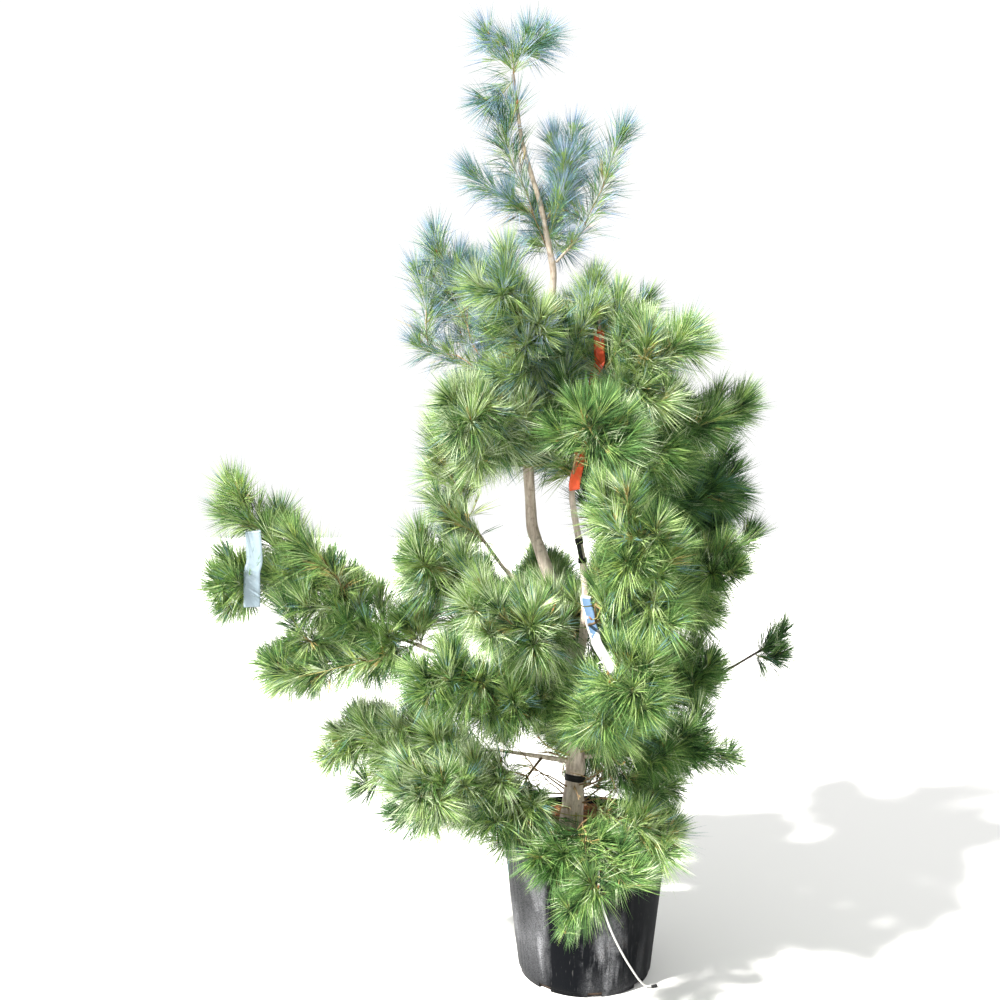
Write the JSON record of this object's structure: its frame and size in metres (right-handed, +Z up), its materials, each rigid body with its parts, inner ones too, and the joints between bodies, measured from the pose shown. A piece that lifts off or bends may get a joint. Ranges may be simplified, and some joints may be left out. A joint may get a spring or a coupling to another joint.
{
  "type": "potted white pine",
  "caption": "Young soft-needled pine with open whorls of up-swept boughs and a long low bough, growing in a round black nursery pot that stands on its flat underside.",
  "frame": {"origin": "middle of the pot's flat underside, at ground level", "axes": "+Z up along the plant's height, -Y towards the plant's front, +X to the right seen from the front"},
  "size_m": [1.5279, 1.0632, 2.4236],
  "materials": {
    "bark": "matte grey-brown bark, smooth and greenish on young wood",
    "needles_top": "silvery blue-green needles with a soft sheen",
    "needles": "fresh mid-green to yellow-green needles with a soft sheen",
    "pot_plastic": "matte black moulded plastic, dusty and scuffed",
    "root_ball": "damp bark mix with dead needles on it",
    "label_film": "thin white plastic film, half matte",
    "tape_film": "thin orange marking film, half matte",
    "tube_plastic": "smooth white tubing",
    "plug_plastic": "matte black moulded plastic"
  },
  "bodies": {
    "root": {"bough_base_left": "bark", "bough_base_right": "bark", "bough_crown_right": "bark", "bough_far_right": "bark", "bough_label": "label_film", "bough_left_column": "bark", "bough_left_tufts": "bark", "bough_long_left": "bark", "bough_lower_back": "bark", "bough_lower_right": "bark", "bough_mid_left": "bark", "bough_mid_right": "bark", "bough_upper_right": "bark", "drip_plug": "plug_plastic", "drip_tube": "tube_plastic", "foliage_base_back": "needles", "foliage_base_left": "needles", "foliage_base_right": "needles", "foliage_crown_back": "needles", "foliage_crown_front": "needles", "foliage_crown_left": "needles", "foliage_crown_right": "needles", "foliage_far_right": "needles", "foliage_left_column": "needles", "foliage_left_tufts": "needles", "foliage_long_droop": "needles", "foliage_long_fork": "needles", "foliage_long_left": "needles", "foliage_long_tip": "needles", "foliage_low_front": "needles", "foliage_low_left": "needles", "foliage_low_right": "needles", "foliage_lower_back": "needles", "foliage_lower_front": "needles", "foliage_lower_left": "needles", "foliage_lower_right": "needles", "foliage_mid_back": "needles", "foliage_mid_front": "needles", "foliage_mid_front_left": "needles", "foliage_mid_left": "needles", "foliage_mid_rear": "needles", "foliage_mid_right": "needles", "foliage_shoulder_back": "needles", "foliage_shoulder_front": "needles", "foliage_shoulder_left": "needles", "foliage_shoulder_rear": "needles", "foliage_shoulder_right": "needles", "foliage_skirt_left": "needles", "foliage_stem_top": "needles", "foliage_top": "needles_top", "foliage_upper_back": "needles_top", "foliage_upper_inner": "needles_top", "foliage_upper_left": "needles_top", "foliage_upper_right": "needles_top", "hang_label": "label_film", "marker_tape": "tape_film", "pot": "pot_plastic", "root_ball": "root_ball", "second_stem": "bark", "trunk": "bark"}
  },
  "joints": []
}
